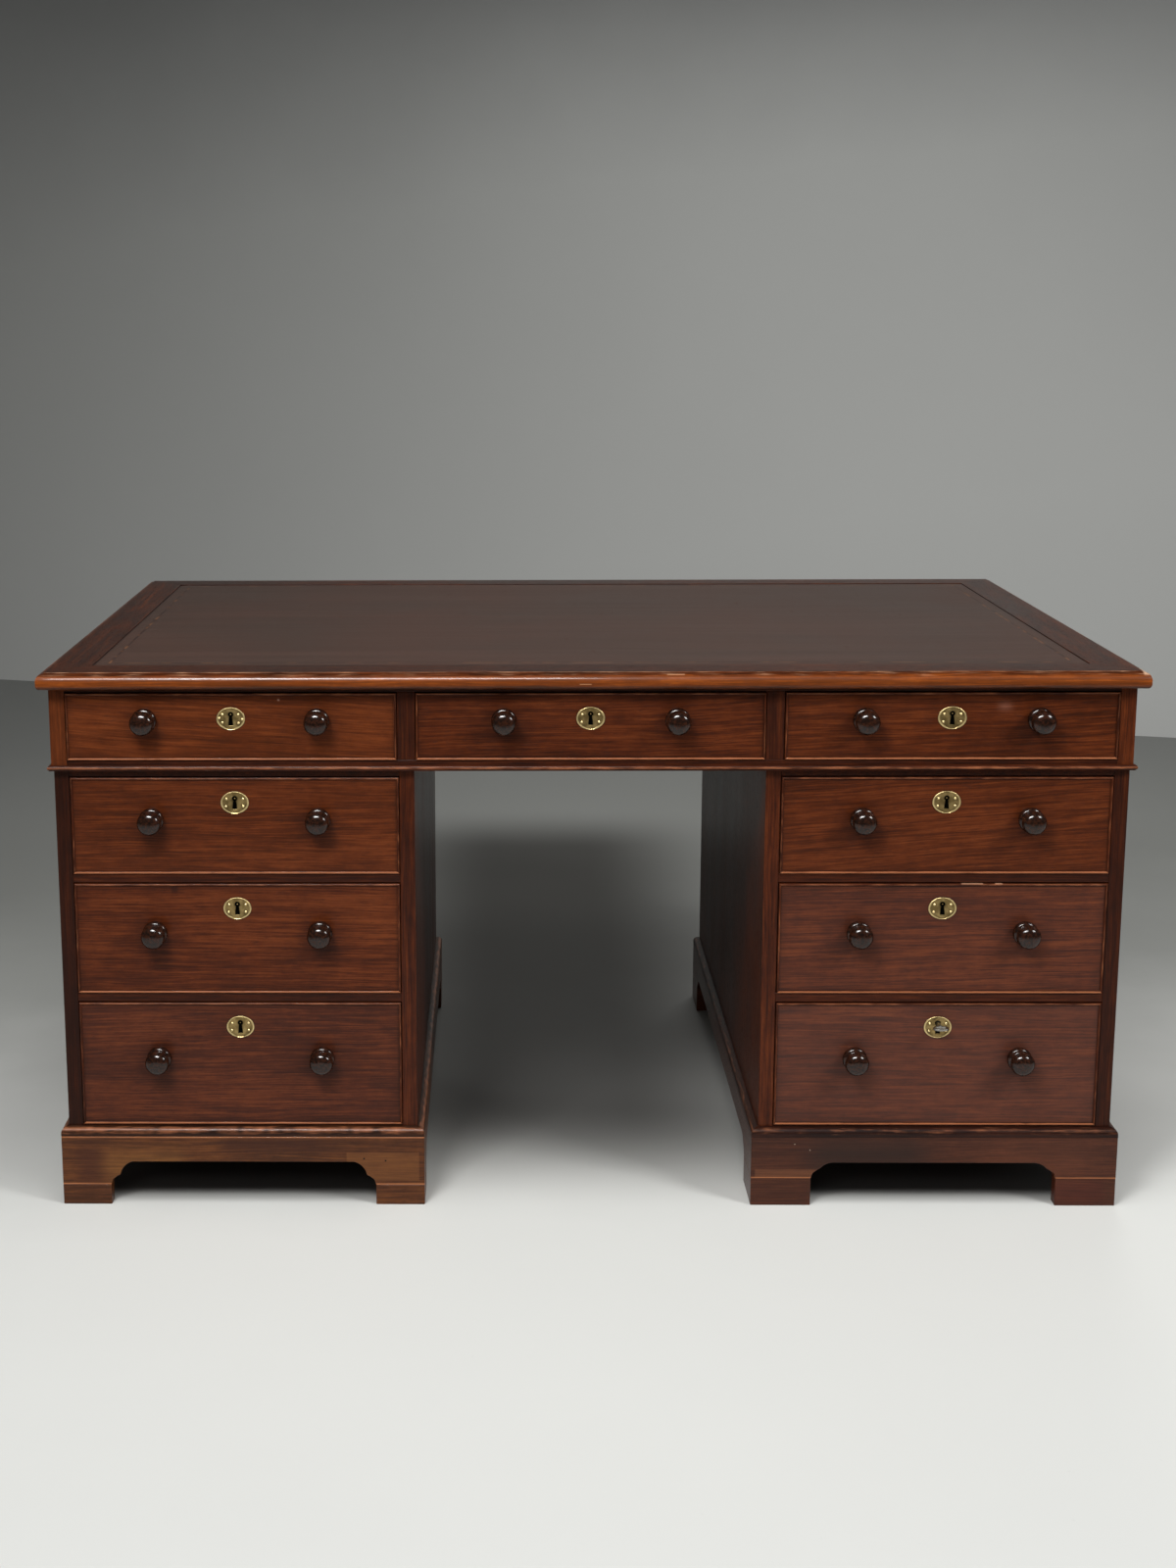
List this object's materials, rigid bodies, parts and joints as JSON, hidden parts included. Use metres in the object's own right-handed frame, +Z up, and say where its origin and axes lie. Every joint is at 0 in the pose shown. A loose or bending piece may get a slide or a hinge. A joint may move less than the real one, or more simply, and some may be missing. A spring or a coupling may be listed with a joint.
{
  "type": "partners desk",
  "caption": "Mahogany pedestal partners desk with a leather writing top, turned knobs, brass locks, and cupboards behind.",
  "frame": {"origin": "on the floor under the middle of the desk", "axes": "+X along the desk to the right of someone who faces its front, +Y from the front to the back, +Z up"},
  "size_m": [1.524, 0.992, 0.782],
  "materials": {
    "mahogany": "satin",
    "lining": "matte",
    "leather": "satin",
    "brass": "worn",
    "steel": "worn"
  },
  "bodies": {
    "desk": {"top_border": "mahogany", "top_ground": "lining", "writing_leather": "leather", "frieze_frame": "mahogany", "frieze_bead": "mahogany", "frieze_runners": "lining", "left_carcase": "mahogany", "right_carcase": "mahogany", "left_inner": "lining", "right_inner": "lining", "left_plinth": "mahogany", "right_plinth": "mahogany", "left_foot_tips": "mahogany", "right_foot_tips": "mahogany", "left_hinges": "brass", "right_hinges": "brass"},
    "frieze_left_drawer": {"frieze_left_front": "mahogany", "frieze_left_box": "lining", "frieze_left_lock": "brass"},
    "frieze_centre_drawer": {"frieze_centre_front": "mahogany", "frieze_centre_box": "lining", "frieze_centre_lock": "brass"},
    "frieze_right_drawer": {"frieze_right_front": "mahogany", "frieze_right_box": "lining", "frieze_right_lock": "brass"},
    "left_upper_drawer": {"left_upper_front": "mahogany", "left_upper_box": "lining", "left_upper_lock": "brass"},
    "left_middle_drawer": {"left_middle_front": "mahogany", "left_middle_box": "lining", "left_middle_lock": "brass"},
    "left_lower_drawer": {"left_lower_front": "mahogany", "left_lower_box": "lining", "left_lower_lock": "brass"},
    "right_upper_drawer": {"right_upper_front": "mahogany", "right_upper_box": "lining", "right_upper_lock": "brass"},
    "right_middle_drawer": {"right_middle_front": "mahogany", "right_middle_box": "lining", "right_middle_lock": "brass"},
    "right_lower_drawer": {"right_lower_front": "mahogany", "right_lower_box": "lining", "right_lower_lock": "brass"},
    "back_left_drawer": {"back_left_front": "mahogany", "back_left_box": "lining", "back_left_lock": "brass"},
    "back_centre_drawer": {"back_centre_front": "mahogany", "back_centre_box": "lining", "back_centre_lock": "brass"},
    "back_right_drawer": {"back_right_front": "mahogany", "back_right_box": "lining", "back_right_lock": "brass"},
    "left_cupboard_door": {"left_door": "mahogany", "left_door_brass": "brass"},
    "right_cupboard_door": {"right_door": "mahogany", "right_door_brass": "brass"},
    "key": {"drawer_key": "steel"},
    "bolt": {"lock_bolt": "brass"}
  },
  "joints": [
    {"name": "frieze_left_slide", "type": "slide", "parent": "desk", "child": "frieze_left_drawer", "axis": [0, -1, 0], "range_m": [0, 0.34]},
    {"name": "frieze_centre_slide", "type": "slide", "parent": "desk", "child": "frieze_centre_drawer", "axis": [0, -1, 0], "range_m": [0, 0.34]},
    {"name": "frieze_right_slide", "type": "slide", "parent": "desk", "child": "frieze_right_drawer", "axis": [0, -1, 0], "range_m": [0, 0.34]},
    {"name": "left_upper_slide", "type": "slide", "parent": "desk", "child": "left_upper_drawer", "axis": [0, -1, 0], "range_m": [0, 0.42]},
    {"name": "left_middle_slide", "type": "slide", "parent": "desk", "child": "left_middle_drawer", "axis": [0, -1, 0], "range_m": [0, 0.42]},
    {"name": "left_lower_slide", "type": "slide", "parent": "desk", "child": "left_lower_drawer", "axis": [0, -1, 0], "range_m": [0, 0.42]},
    {"name": "right_upper_slide", "type": "slide", "parent": "desk", "child": "right_upper_drawer", "axis": [0, -1, 0], "range_m": [0, 0.42]},
    {"name": "right_middle_slide", "type": "slide", "parent": "desk", "child": "right_middle_drawer", "axis": [0, -1, 0], "range_m": [0, 0.42]},
    {"name": "right_lower_slide", "type": "slide", "parent": "desk", "child": "right_lower_drawer", "axis": [0, -1, 0], "range_m": [0, 0.42]},
    {"name": "back_left_slide", "type": "slide", "parent": "desk", "child": "back_left_drawer", "axis": [0, 1, 0], "range_m": [0, 0.34]},
    {"name": "back_centre_slide", "type": "slide", "parent": "desk", "child": "back_centre_drawer", "axis": [0, 1, 0], "range_m": [0, 0.34]},
    {"name": "back_right_slide", "type": "slide", "parent": "desk", "child": "back_right_drawer", "axis": [0, 1, 0], "range_m": [0, 0.34]},
    {"name": "left_door_hinge", "type": "hinge", "parent": "desk", "child": "left_cupboard_door", "pos_m": [-0.7245, 0.4555, 0.375], "axis": [0, 0, 1], "range_deg": [0, 110]},
    {"name": "right_door_hinge", "type": "hinge", "parent": "desk", "child": "right_cupboard_door", "pos_m": [0.7245, 0.4555, 0.375], "axis": [0, 0, -1], "range_deg": [0, 110]},
    {"name": "key_turn", "type": "hinge", "parent": "right_lower_drawer", "child": "key", "pos_m": [0.495, -0.46, 0.2718], "axis": [0, -1, 0], "range_deg": [0, 180]},
    {"name": "bolt_throw", "type": "slide", "parent": "right_lower_drawer", "child": "bolt", "axis": [0, 0, 1], "range_m": [0, 0.007]}
  ],
  "couplings": [
    {"joint": "bolt_throw", "follows": "key_turn", "m_per_rad": 0.0022281}
  ]
}
